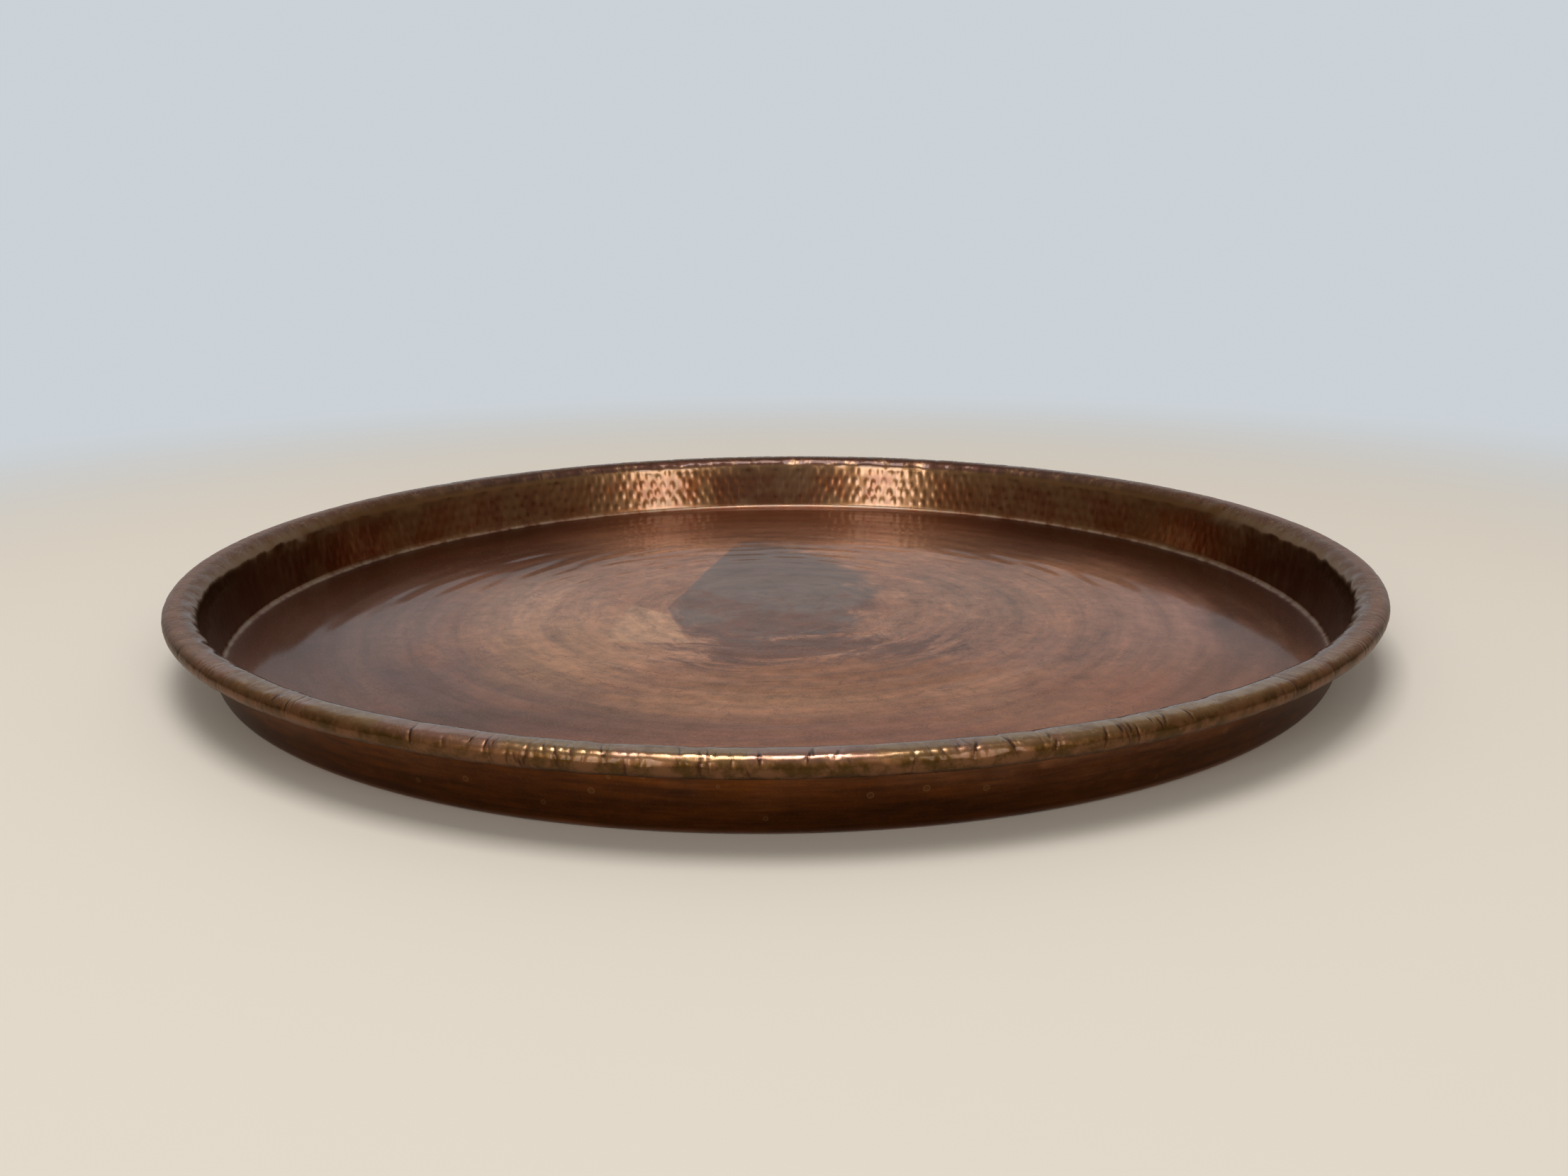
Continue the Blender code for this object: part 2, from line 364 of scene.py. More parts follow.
def section_rings():
    """Every ring of the sheet, from the middle of the floor round the lip to the middle of the underside."""
    top, top_normals = face_section(TOP, TOP_STEPS)
    under, under_normals = face_section(UNDER, UNDER_STEPS)
    points = np.concatenate([top, under[::-1]])
    normals = np.concatenate([top_normals, under_normals[::-1]])
    runs = np.linalg.norm(np.diff(points, axis=0), axis=1)
    distances = np.concatenate([[0.0], np.cumsum(runs)]) + TOP_STEPS.hub
    columns = [columns_at(point[0], TOP_COLUMNS) for point in top]
    columns += [columns_at(point[0], UNDER_COLUMNS) for point in under[::-1]]
    return [Ring(*point, *rest) for point, *rest in zip(points, normals, distances, columns)]


# ---- Hammer marks ----


def around(radius, spacing):
    """How many marks of a spacing go round the tray at a radius."""
    return round(2 * math.pi * radius / spacing)


def waves(rng, kind):
    """A smooth uneven field of angle and distance, about -1 to 1, that closes on itself round the tray."""
    turns = rng.integers(-kind.most_turns, kind.most_turns + 1, kind.count)
    rates = 2 * math.pi / rng.uniform(*kind.lengths, kind.count)
    phases = rng.uniform(0, 2 * math.pi, kind.count)

    def field(angle, distance):
        total = sum(np.cos(t * angle + k * distance + p) for t, k, p in zip(turns, rates, phases))
        return total / math.sqrt(kind.count)

    return field


def blows(rng, kind):
    """A field of hammer blows: 1 in the middle of a hard one and 0 on the ridges between them. Every other
    row is shifted by half a spacing."""
    rows = kind.rows
    count = around(BASE_RADIUS, kind.spacing)
    strays = rng.uniform(-kind.scatter, kind.scatter, (rows, count, 2))
    weights = rng.uniform(*BLOW_WEIGHTS, (rows, count))

    def field(angle, distance):
        across = angle / (2 * math.pi) * count
        along = distance / kind.spacing
        nearest = np.full(len(angle), np.inf)
        weight = np.zeros(len(angle))
        base_row = math.floor(along)
        for row in (base_row - 1, base_row, base_row + 1):
            for shift in (-1, 0, 1):
                column = np.floor(across).astype(int) + shift
                stray = strays[row % rows, column % count]
                gap_across = across - column - 0.5 - 0.5 * (row % 2) - stray[:, 0]
                gap_along = (along - row - 0.5 - stray[:, 1]) / kind.length
                gap = np.hypot(gap_across, gap_along)
                nearer = gap < nearest
                nearest = np.where(nearer, gap, nearest)
                weight = np.where(nearer, weights[row % rows, column % count], weight)
        return weight * np.clip(1.0 - (nearest / kind.reach) ** 2, 0.0, 1.0) ** BLOW_FALL

    return field


def flats(rng):
    """A field of flats beaten on the roll, as depths in metres. Each one cuts the roll's curve off along a
    plane that bends only slightly along the rim, so it is a long narrow lens with crisp ridges round it."""
    count = around(RIM_RADIUS, FLAT_SPACING)
    spacing = 2 * math.pi * RIM_RADIUS / count
    row_spacing = (ROLL_END - CREST + FLAT_LEAD) / FLAT_ROWS
    strays = rng.uniform(-FLAT_SCATTER, FLAT_SCATTER, (FLAT_ROWS, count, 2))
    depths = rng.uniform(*FLAT_DEPTHS, (FLAT_ROWS, count))

    def field(angle, distance):
        along = angle / (2 * math.pi) * count
        deepest = np.zeros(len(angle))
        for row in range(FLAT_ROWS):
            for shift in (-2, -1, 0, 1, 2):
                column = np.floor(along).astype(int) + shift
                stray = strays[row, column % count]
                gap_along = (along - column - 0.5 - 0.5 * (row % 2) - stray[:, 0]) * spacing
                gap_across = distance - (row + 0.5 + stray[:, 1]) * row_spacing
                fall = gap_along**2 / (2 * FLAT_LENGTH_CURVE) + gap_across**2 / (2 * WIRE_ROLL)
                deepest = np.maximum(deepest, depths[row, column % count] - fall)
        return deepest

    return field


def creases(rng):
    """A field of short narrow grooves that cross the rim in loose clusters, as depths in metres."""
    fewest, most = CREASES_PER_CLUSTER
    clusters = rng.uniform(0, 2 * math.pi, CREASE_CLUSTERS)
    members = rng.integers(fewest, most + 1, CREASE_CLUSTERS)
    places = np.repeat(clusters, members) + rng.normal(0, CREASE_SPREAD, members.sum())
    count = len(places)
    widths = rng.uniform(*CREASE_WIDTHS, count)
    depths = rng.uniform(*CREASE_DEPTHS, count)
    slants = rng.uniform(-CREASE_SLANT, CREASE_SLANT, count)
    middles = rng.uniform(*CREASE_MIDDLES, count)
    reaches = rng.uniform(*CREASE_REACHES, count)

    def field(angle, distance):
        deepest = np.zeros(len(angle))
        grooves = zip(places, widths, depths, slants, middles, reaches)
        for place, width, depth, slant, middle, reach in grooves:
            turn = (angle - place + math.pi) % (2 * math.pi) - math.pi
            across = turn * RIM_RADIUS - slant * (distance - middle)
            fade = math.exp(-(((distance - middle) / reach) ** 2))
            deepest = np.maximum(deepest, depth * fade * np.exp(-((across / width) ** 2)))
        return deepest

    return field


def share_within(distance, stretch):
    """How fully a distance lies within a stretch: it rises and falls as the stretch's four distances say."""
    start, full, fading, end = stretch
    return smooth_step(distance, start, full) * (1 - smooth_step(distance, fading, end))


def has_outside_marks(ring):
    """Whether a ring is on the lower part of the wall's outer face."""
    outside = ring.distance > ROLL_END and ring.normal[0] > OUTWARDS
    return outside and ring.radius < OUTSIDE_MARKS_RADIUS


def hammering():
    """Returns a function that gives, for a ring's points, their lift off the plain section and how far into a
    hammer mark they lie, from 0 on the ridges to 1 in the hollows."""
    rng = np.random.default_rng(SEED)
    wall_blows = blows(rng, WALL_BLOWS)
    rim_flats = flats(rng)
    outside_blows = blows(rng, OUTSIDE_BLOWS)
    rim_creases = creases(rng)
    floor_waves = waves(rng, FLOOR_WAVES)
    floor_swell = waves(rng, FLOOR_SWELL)
    rim_swell = waves(rng, RIM_SWELL)
    scallops = waves(rng, SCALLOPS)

    def marks(ring, angle):
        d = ring.distance
        on_floor = share_within(d, FLOOR_MARKS)
        on_wall = share_within(d, WALL_MARKS)
        on_rim = share_within(d, RIM_MARKS)
        on_shoulder = share_within(d, SHOULDER_MARKS)
        side_share = 1 - (1 - SIDE_MARKS) * smooth_step(np.abs(np.cos(angle)), *SIDE_TURN)
        lift = np.zeros(len(angle))
        hollow = np.zeros(len(angle))
        if on_floor > 0:
            lift += on_floor * FLOOR_WAVES.height * floor_waves(angle, d)
            lift += on_floor * FLOOR_SWELL.height * floor_swell(angle, d)
        if on_wall > 0:
            blow = wall_blows(angle, d - WALL_START)
            lift -= on_wall * side_share * WALL_BLOWS.depth * blow
            hollow = on_wall * blow
        if on_rim > 0:
            crease = rim_creases(angle, d - CREST)
            lift -= on_rim * side_share * (rim_flats(angle, d - CREST + FLAT_LEAD) + crease)
            lift -= on_rim * RIM_SWELL.height * (1 + np.clip(rim_swell(angle, d), -1, 1)) / 2
            hollow = np.maximum(hollow, on_rim * side_share * crease / CREASE_DEPTHS[1])
        if on_shoulder > 0:
            lift += on_shoulder * SCALLOPS.height * scallops(angle, d)
        if has_outside_marks(ring):
            hollow = outside_blows(angle, d - ROLL_END)
            lift -= OUTSIDE_BLOWS.depth * hollow
        return lift, hollow

    return marks


# ---- Meshes ----


def joined(first, second, first_start, second_start):
    """Faces between two neighbouring rings, whose numbers of columns may differ by a whole factor."""
    if first == second:
        this = np.arange(first)
        after = (this + 1) % first
        corners = [first_start + this, second_start + this, second_start + after, first_start + after]
        return np.stack(corners, axis=1)
    few, many = sorted((first, second))
    few_start, many_start = (first_start, second_start) if few == first else (second_start, first_start)
    ratio = many // few
    faces = []
    for i in range(few):
        here = few_start + i
        after = few_start + (i + 1) % few
        fan = [many_start + (i * ratio + k) % many for k in range(ratio + 1)]
        middle = ratio // 2
        faces += [(here, fan[k], fan[k + 1]) for k in range(middle)]
        faces.append((here, fan[middle], after))
        faces += [(after, fan[k], fan[k + 1]) for k in range(middle, ratio)]
    if few == second:
        faces = [face[::-1] for face in faces]
    return faces


def turned_mesh(name, rings, marks):
    """One closed mesh from rings that run over the outside of a solid from its axis back to its axis."""
    points = [(0.0, 0.0, rings[0].height)]
    distances = [0.0]
    hollows = [0.0]
    starts = []
    faces = []
    for ring in rings:
        angle = np.linspace(0.0, 2 * math.pi, ring.columns, endpoint=False)
        lift, hollow = marks(ring, angle)
        radius = ring.radius + lift * ring.normal[0]
        height = ring.height + lift * ring.normal[1]
        starts.append(len(points))
        points.extend(np.stack([radius * np.cos(angle), radius * np.sin(angle), height], axis=1).tolist())
        distances.extend([ring.distance] * ring.columns)
        hollows.extend(hollow.tolist())
    last = len(points)
    points.append((0.0, 0.0, rings[-1].height))
    distances.append(rings[-1].distance + rings[-1].radius)
    hollows.append(0.0)

    first_count, last_count = rings[0].columns, rings[-1].columns
    faces += [(0, starts[0] + i, starts[0] + (i + 1) % first_count) for i in range(first_count)]
    for here, after, here_start, after_start in zip(rings, rings[1:], starts, starts[1:]):
        rows = joined(here.columns, after.columns, here_start, after_start)
        faces += [tuple(row) for row in rows]
    faces += [(last, starts[-1] + (i + 1) % last_count, starts[-1] + i) for i in range(last_count)]

    mesh = bpy.data.meshes.new(name)
    mesh.from_pydata(points, [], faces)
    mesh.attributes.new("distance", "FLOAT", "POINT").data.foreach_set("value", distances)
    mesh.attributes.new("hollow", "FLOAT", "POINT").data.foreach_set("value", hollows)
    mesh.shade_smooth()
    mesh.set_sharp_from_angle(angle=SHARP_ANGLE)
    return mesh


# ---- Materials ----


class Tree:
    """Short calls that add nodes to the node tree of a material or world."""

    def __init__(self, owner):
        owner.use_nodes = True
        self.tree = owner.node_tree

    def node(self, kind, inputs=(), **settings):
        made = self.tree.nodes.new("ShaderNode" + kind)
        for key, value in settings.items():
            setattr(made, key, value)
        for key, value in dict(inputs).items():
            self.feed(made.inputs[key], value)
        return made

    def feed(self, socket, value):
        if isinstance(value, bpy.types.NodeSocket):
            self.tree.links.new(value, socket)
        elif isinstance(value, tuple) and len(value) == 3 and len(socket.default_value) == 4:
            socket.default_value = (*value, 1.0)
        else:
            socket.default_value = value

    def maths(self, operation, first, second=0.0, third=0.0):
        return self.node("Math", {0: first, 1: second, 2: third}, operation=operation).outputs[0]

    def product(self, first, *others):
        for other in others:
            first = self.maths("MULTIPLY", first, other)
        return first

    def total(self, start, *weighted):
        """A start plus values that each come with a weight."""
        for value, weight in weighted:
            start = self.maths("MULTIPLY_ADD", value, weight, start)
        return start

    def centred(self, noise):
        """A noise with its middle moved to 0."""
        return self.maths("SUBTRACT", noise, 0.5)

    def rest(self, share):
        """What a share leaves of 1."""
        return self.maths("SUBTRACT", 1.0, share)

    def step(self, value, low, high):
        """0 at low, 1 at high and a smooth rise between."""
        ends = {"Value": value, "From Min": low, "From Max": high}
        return self.node("MapRange", ends, interpolation_type="SMOOTHSTEP").outputs["Result"]

    def noise(self, place, scale, detail=3.0, roughness=0.55, distortion=0.0):
        inputs = {"Vector": place, "Scale": scale, "Detail": detail, "Roughness": roughness}
        return self.node("TexNoise", inputs | {"Distortion": distortion}).outputs["Fac"]

    def mix(self, share, first, second):
        return self.node("Mix", {0: share, 6: first, 7: second}, data_type="RGBA").outputs[2]

    def tint(self, colour, other, share, strength):
        """A colour moved towards another by a share times a strength."""
        return self.mix(self.product(share, strength), colour, other)

    def blend(self, share, first, second):
        return self.node("Mix", {0: share, 2: first, 3: second}, data_type="FLOAT").outputs[0]

    def scale(self, colour, factor):
        """A colour times a number."""
        return self.node("VectorMath", {0: colour, "Scale": factor}, operation="SCALE").outputs[0]

    def ridge(self, value, width):
        """1 along the lines where a noise passes through its middle, falling to 0 at a width from them."""
        away = self.maths("ABSOLUTE", self.centred(value))
        return self.step(away, width, 0.0)

    def set(self, **inputs):
        """Feeds the Principled shader."""
        shader = self.tree.nodes["Principled BSDF"]
        for key, value in inputs.items():
            self.feed(shader.inputs[key.replace("_", " ")], value)


def flat_radius(t, x, y):
    return t.maths("SQRT", t.maths("ADD", t.maths("POWER", x, 2.0), t.maths("POWER", y, 2.0)))


def ring_place(t, at, radius):
    """A place for noise that runs in rings round the hub and stretches out beyond a radius."""
    stretch = t.maths("DIVIDE", radius, t.maths("MAXIMUM", at.radius, radius))
    parts = {0: t.product(at.x, stretch), 1: t.product(at.y, stretch), 2: at.distance}
    return t.node("CombineXYZ", parts).outputs[0]


def across_place(t, at, share):
    """A place for noise that runs across the rim: share is how fast it changes from inside to outside."""
    turn = t.maths("DIVIDE", RIM_RADIUS, at.radius)
    parts = {0: t.product(at.x, turn), 1: t.product(at.y, turn), 2: t.product(at.distance, share)}
    return t.node("CombineXYZ", parts).outputs[0]


def band(t, value, low, high, soft):
    """1 between low and high, fading to 0 over soft on either side."""
    rise = t.step(value, low - soft, low + soft)
    fall = t.step(value, high - soft, high + soft)
    return t.product(rise, t.rest(fall))


def on_sides(t, at, stretch):
    """0 in the middle of the tray and 1 at its left and right, with a rise over a stretch between."""
    return t.step(t.maths("ABSOLUTE", at.x), *stretch)


def half_plane(t, at, edge, shift):
    """1 on the right of an edge, seen from above and looking along it, and 0 on its left. shift moves the
    edge to the left."""
    run = Vector((edge.end[0] - edge.start[0], edge.end[1] - edge.start[1])).normalized()
    across = t.product(t.maths("SUBTRACT", at.x, edge.start[0]), run.y)
    along = t.product(t.maths("SUBTRACT", at.y, edge.start[1]), run.x)
    side = t.maths("ADD", t.maths("SUBTRACT", across, along), shift)
    return t.step(side, -edge.soft, edge.soft)


def within(t, at, edges, wander):
    """1 on the right of every edge and 0 elsewhere."""
    share = 1.0
    for edge in edges:
        share = t.product(share, half_plane(t, at, edge, t.product(wander, edge.wander)))
    return share


def oval(t, at, centre, halves, wander, fade):
    """1 inside an oval on the floor and 0 outside it, with an edge that wanders with the noise."""
    across = t.maths("DIVIDE", t.maths("SUBTRACT", at.x, centre[0]), halves[0])
    along = t.maths("DIVIDE", t.maths("SUBTRACT", at.y, centre[1]), halves[1])
    out = t.maths("ADD", flat_radius(t, across, along), wander)
    return t.rest(t.step(out, *fade))


Places = namedtuple("Places", "place x y z radius distance hollow")


def places(t):
    """Where a point of the sheet lies, for the textures."""
    place = t.node("TexCoord").outputs["Object"]
    x, y, z = t.node("SeparateXYZ", {0: place}).outputs
    distance = t.node("Attribute", attribute_name="distance").outputs["Fac"]
    hollow = t.node("Attribute", attribute_name="hollow").outputs["Fac"]
    return Places(place, x, y, z, flat_radius(t, x, y), distance, hollow)


Textures = namedtuple(
    "Textures", "streaks fine_streaks broad_streaks lines clouds mottle grain crossing tarnish"
)
Zones = namedtuple("Zones", "wall rim outside underside")


def textures(t, at):
    """The noises that the copper's colours, roughness and bump are made from."""
    rings = ring_place(t, at, STREAK_RADIUS)
    broad_rings = ring_place(t, at, BROAD_RADIUS)
    tarnish = t.noise(across_place(t, at, share=1.0), scale=90.0, detail=4.0, roughness=0.65)
    return Textures(
        streaks=t.noise(rings, scale=55.0, detail=5.0, roughness=0.62, distortion=0.3),
        fine_streaks=t.noise(rings, scale=300.0, detail=3.0, roughness=0.6),
        broad_streaks=t.noise(broad_rings, scale=24.0, detail=3.0, roughness=0.5, distortion=0.6),
        lines=t.noise(rings, scale=62.0, detail=8.0, roughness=0.75, distortion=0.7),
        clouds=t.noise(at.place, scale=8.0, detail=4.0, roughness=0.55),
        mottle=t.noise(at.place, scale=85.0, detail=6.0, roughness=0.7),
        grain=t.noise(at.place, scale=900.0, detail=2.0, roughness=0.7),
        crossing=t.noise(across_place(t, at, share=0.12), scale=420.0, detail=3.0, roughness=0.6),
        tarnish=t.step(tarnish, 0.42, 0.62),
    )


def zones(t, at):
    """From 0 to 1, how far a point lies on the wall or past it, on the rim or past it, and so on to the
    underside."""
    outside = t.step(at.distance, *INTO_OUTSIDE)
    return Zones(
        wall=t.step(at.distance, *INTO_WALL),
        rim=t.step(at.distance, *INTO_RIM),
        outside=outside,
        underside=t.product(outside, t.step(at.z, *UNDERSIDE_HEIGHTS)),
    )


def under_bead(t, at):
    """1 on the lower half of the rolled rim and past it, and 0 on its top."""
    return t.step(at.distance, *INTO_UNDER_BEAD)


def worn_share(t, at, wander=0.0):
    """1 in the middle of the floor, where the skin is rubbed off, and 0 near the wall."""
    return oval(t, at, WORN_CENTRE, WORN_HALVES, wander, WORN_FADE)


def dark_outer(t, at, uneven):
    """1 on the sides of the floor's outer ring, where the skin is darkest, and 0 elsewhere."""
    ring = t.step(t.total(at.radius, (uneven, OUTER_WANDER)), *OUTER_RADII)
    return t.product(ring, on_sides(t, at, OUTER_SIDES), t.step(at.y, *OUTER_FRONT))


def floor_shade(t, at, texture):
    """How much lighter or darker than its surroundings a spot of the floor is, most of all where worn."""
    rings = t.noise(ring_place(t, at, RING_RADIUS), scale=48.0, detail=4.0, roughness=0.65)
    shade = t.total(SHADE_START, (texture.lines, SHADE_LINES), (texture.mottle, SHADE_MOTTLE))
    shade = t.total(shade, (texture.grain, SHADE_GRAIN), (rings, SHADE_RINGS))
    return t.blend(worn_share(t, at), t.blend(SKIN_SHADE, 1.0, shade), shade)


def tinted_floor(t, at, texture, uneven):
    """The skin, the worn middle and the clouds of colour over both."""
    wander = t.product(uneven, TINT_WANDER)
    worn = t.mix(t.step(texture.broad_streaks, 0.3, 0.7), WORN_DARK, WORN_LIGHT)
    colour = t.mix(worn_share(t, at, wander), SKIN_LIGHT, worn)
    colour = t.tint(colour, SKIN_LIGHT, t.step(texture.clouds, 0.45, 0.7), strength=0.35)
    for tint in FLOOR_TINTS:
        share = oval(t, at, tint.centre, tint.halves, wander, TINT_FADE)
        share = t.product(share, t.blend(tint.streaked, 1.0, t.step(texture.streaks, 0.38, 0.58)))
        colour = t.tint(colour, tint.colour, share, tint.strength)
    return colour


def patch_share(t, at, texture, uneven):
    """1 on the floor's dark patch and 0 beside it."""
    blot = t.product(t.maths("ADD", t.centred(texture.lines), uneven), PATCH_WANDER)
    patch = oval(t, at, PATCH_CENTRE, PATCH_HALVES, blot, PATCH_FADE)
    return t.product(patch, within(t, at, PATCH_EDGES, uneven))


def patch_colour(t, at, texture):
    """Grey, and brown towards the front."""
    inside = t.noise(at.place, scale=26.0, detail=5.0, roughness=0.65, distortion=0.8)
    inside = t.total(inside, (at.y, -2.0))
    colour = t.mix(t.step(inside, 0.42, 0.58), PATCH_GREY, PATCH_BROWN)
    return t.scale(colour, t.total(0.2, (texture.lines, 1.6)))


def vein_share(t, at, texture):
    """1 along thin dark veins that come and go."""
    veins = t.ridge(t.noise(at.place, scale=30.0, detail=5.0, roughness=0.6, distortion=0.5), width=0.018)
    return t.product(veins, t.step(texture.lines, 0.45, 0.6))


def floor_colour(t, at, texture):
    """Copper rubbed to a tan in rings, under a skin that is darker in clouds and in a patch near the hub."""
    uneven = t.centred(texture.broad_streaks)
    colour = tinted_floor(t, at, texture, uneven)
    colour = t.tint(colour, SKIN_OUTER, dark_outer(t, at, uneven), OUTER_STRENGTH)
    blot = t.product(t.centred(texture.lines), SMEAR_WANDER)
    smear = oval(t, at, SMEAR_CENTRE, SMEAR_HALVES, blot, SMEAR_FADE)
    colour = t.tint(colour, SMEAR_COLOUR, smear, strength=0.75)
    colour = t.tint(colour, WORN_BRIGHT, within(t, at, WEDGE_EDGES, uneven), strength=0.6)
    colour = t.scale(colour, floor_shade(t, at, texture))
    colour = t.tint(colour, SKIN_DARK, vein_share(t, at, texture), strength=0.5)
    patch = patch_share(t, at, texture, uneven)
    return t.tint(colour, patch_colour(t, at, texture), patch, strength=0.86)


def wall_colour(t, at, texture):
    """Brown, with pale pink smears that run up and down, golden near the rim, and painted shade at the left
    and right.
    """
    colour = t.mix(t.step(texture.clouds, 0.35, 0.65), WALL_DARK, WALL_LIGHT)
    gilt = t.noise(across_place(t, at, share=1.0), scale=34.0, detail=3.0, roughness=0.6)
    colour = t.tint(colour, WALL_GOLD, t.step(gilt, 0.45, 0.6), strength=0.7)
    smears = t.noise(across_place(t, at, share=0.15), scale=190.0, detail=3.0, roughness=0.6)
    colour = t.tint(colour, WALL_SMEAR, t.step(smears, 0.48, 0.7), strength=0.25)
    colour = t.mix(t.step(at.distance, *INTO_WALL_TOP), colour, WALL_GOLD)
    return t.scale(colour, t.blend(on_sides(t, at, WALL_SIDES), 1.0, WALL_SIDE_SHADE))


def rim_colour(t, at, texture):
    """A golden polish with pink and brown clouds, painted shade at the back, and creases and dents darkened
    by dirt and partly by painted shade.
    """
    at_back = t.step(at.y, *BACK)
    clouds = t.noise(across_place(t, at, share=0.3), scale=26.0, detail=3.0, roughness=0.6)
    colour = t.mix(t.step(t.total(clouds, (at_back, 0.15)), 0.5, 0.62), RIM_GOLD, RIM_PINK)
    colour = t.tint(colour, RIM_SIDE, on_sides(t, at, RIM_SIDES), strength=0.8)
    # Painted shade: the rim is darker at the back
    colour = t.scale(colour, t.blend(at_back, 1.0, RIM_BACK_SHADE))
    colour = t.mix(t.step(at.distance, *INTO_POLISH), SHOULDER_PINK, colour)
    colour = t.tint(colour, RIM_BROWN, texture.tarnish, strength=0.65)
    nicks = t.noise(across_place(t, at, share=1.0), scale=130.0, detail=2.0, roughness=0.6, distortion=1.0)
    colour = t.tint(colour, RIM_PALE, t.ridge(nicks, width=0.025), strength=0.35)
    under = t.mix(t.step(texture.mottle, 0.4, 0.6), RIM_BROWN, RIM_UNDER)
    colour = t.mix(under_bead(t, at), colour, under)
    # Dark in the creases and dents: dirt, and partly painted shade
    return t.mix(t.step(at.hollow, 0.3, 0.8), colour, RIM_HOLLOW_DIRT_AND_SHADE)


def drop_share(t, at):
    """1 on the rings that a few water drops left on the outside, and fainter inside them."""
    turn = t.product(t.maths("ARCTAN2", at.y, at.x), BASE_RADIUS)
    flat = t.node("CombineXYZ", {0: turn, 1: at.z}).outputs[0]
    cells = t.node("TexVoronoi", {"Vector": flat, "Scale": 1 / DROP_SPACING}, voronoi_dimensions="2D")
    chance, size, _ = t.node("SeparateColor", {0: cells.outputs["Color"]}).outputs
    radii = t.maths("DIVIDE", t.product(cells.outputs["Distance"], DROP_SPACING), t.blend(size, *DROP_RADII))
    drop = t.total(band(t, radii, *DROP_LINE), (t.step(radii, 1.0, 0.8), 0.4))
    return t.product(drop, t.step(chance, 0.5, 0.56))


def outside_colour(t, at, texture):
    """Dark brown with level streaks, grey-purple clouds in the streaks that are stronger towards the top, and
    a few pale rings that water drops left.
    """
    colour = t.mix(t.step(texture.streaks, 0.4, 0.65), OUTSIDE_DARK, OUTSIDE_LIGHT)
    grey_purple = t.product(t.step(texture.clouds, 0.42, 0.58), t.step(texture.streaks, 0.3, 0.6))
    grey_purple = t.product(grey_purple, t.step(at.z, 0.004, 0.024))
    colour = t.tint(colour, OUTSIDE_GREY_PURPLE, grey_purple, strength=0.5)
    colour = t.scale(colour, t.total(0.05, (texture.fine_streaks, 2.0)))
    colour = t.scale(colour, t.total(0.5, (texture.mottle, 1.0)))
    blots = t.product(t.step(at.hollow, 0.35, 0.75), t.step(texture.clouds, 0.48, 0.58))
    colour = t.tint(colour, OUTSIDE_DARK, blots, strength=0.6)
    return t.tint(colour, OUTSIDE_DROP, drop_share(t, at), strength=0.4)


def underside_colour(t, at, texture):
    """Dull brown, rubbed bright where the tray has slid about on its outer ring."""
    colour = t.mix(t.step(texture.mottle, 0.35, 0.7), UNDERSIDE_DARK, UNDERSIDE_LIGHT)
    rub = t.product(t.step(at.radius, 0.24, 0.325), t.step(texture.streaks, 0.42, 0.62))
    return t.tint(colour, WORN_DARK, rub, strength=0.7)


def corner_dust_and_sheen(t, at, texture):
    """How thickly the pale line lies in the corner at the foot of the wall: a dusty deposit, and partly a
    painted highlight of the bend there.
    """
    return t.product(band(t, at.distance, *DUST_AND_SHEEN_LINE), t.step(texture.mottle, 0.35, 0.6), DUST_AND_SHEEN_STRENGTH)


def dull_shaded_shoulder(t, at):
    """1 where the shoulder is painted darker as shade and made rougher, which is in patches at the back of
    the tray, and 0 elsewhere.
    """
    patches = t.noise(across_place(t, at, share=0.5), scale=70.0, detail=4.0, roughness=0.65)
    line = band(t, at.distance, *DULL_SHADE_LINE)
    return t.product(line, t.step(patches, 0.38, 0.5), t.step(at.y, *BACK))


def copper_colour(t, at, texture, zone):
    """The colours of the sheet's parts, each laid over the one before, with pale specks of grain."""
    colour = floor_colour(t, at, texture)
    colour = t.mix(zone.wall, colour, wall_colour(t, at, texture))
    colour = t.mix(zone.rim, colour, rim_colour(t, at, texture))
    # Painted shade on the shoulder at the back
    colour = t.mix(dull_shaded_shoulder(t, at), colour, SHOULDER_SHADE)
    colour = t.mix(zone.outside, colour, outside_colour(t, at, texture))
    colour = t.mix(zone.underside, colour, underside_colour(t, at, texture))
    strength = t.blend(zone.wall, FLOOR_GRAIN, WALL_GRAIN)
    return t.tint(colour, GRAIN, t.step(texture.grain, 0.5, 0.75), strength)


def copper_roughness(t, at, texture, zone):
    """Rough on the floor, smoother on the wall and outside, and smoothest where the rim is polished."""
    rough = t.blend(t.step(texture.fine_streaks, 0.3, 0.7), *WORN_ROUGHNESS)
    rough = t.blend(worn_share(t, at), SKIN_ROUGHNESS, rough)
    rough = t.blend(zone.wall, rough, WALL_ROUGHNESS)
    bead = t.blend(texture.tarnish, *RIM_ROUGHNESS)
    bead = t.blend(on_sides(t, at, RIM_SIDES), bead, RIM_SIDE_ROUGHNESS)
    shoulder = t.blend(texture.tarnish, *SHOULDER_ROUGHNESS)
    bead = t.blend(t.step(at.distance, *INTO_POLISH), shoulder, bead)
    bead = t.blend(under_bead(t, at), bead, RIM_UNDER_ROUGHNESS)
    rough = t.blend(zone.rim, rough, bead)
    rough = t.blend(dull_shaded_shoulder(t, at), rough, SKIN_ROUGHNESS)
    return t.blend(zone.outside, rough, t.blend(texture.streaks, *OUTSIDE_ROUGHNESS))


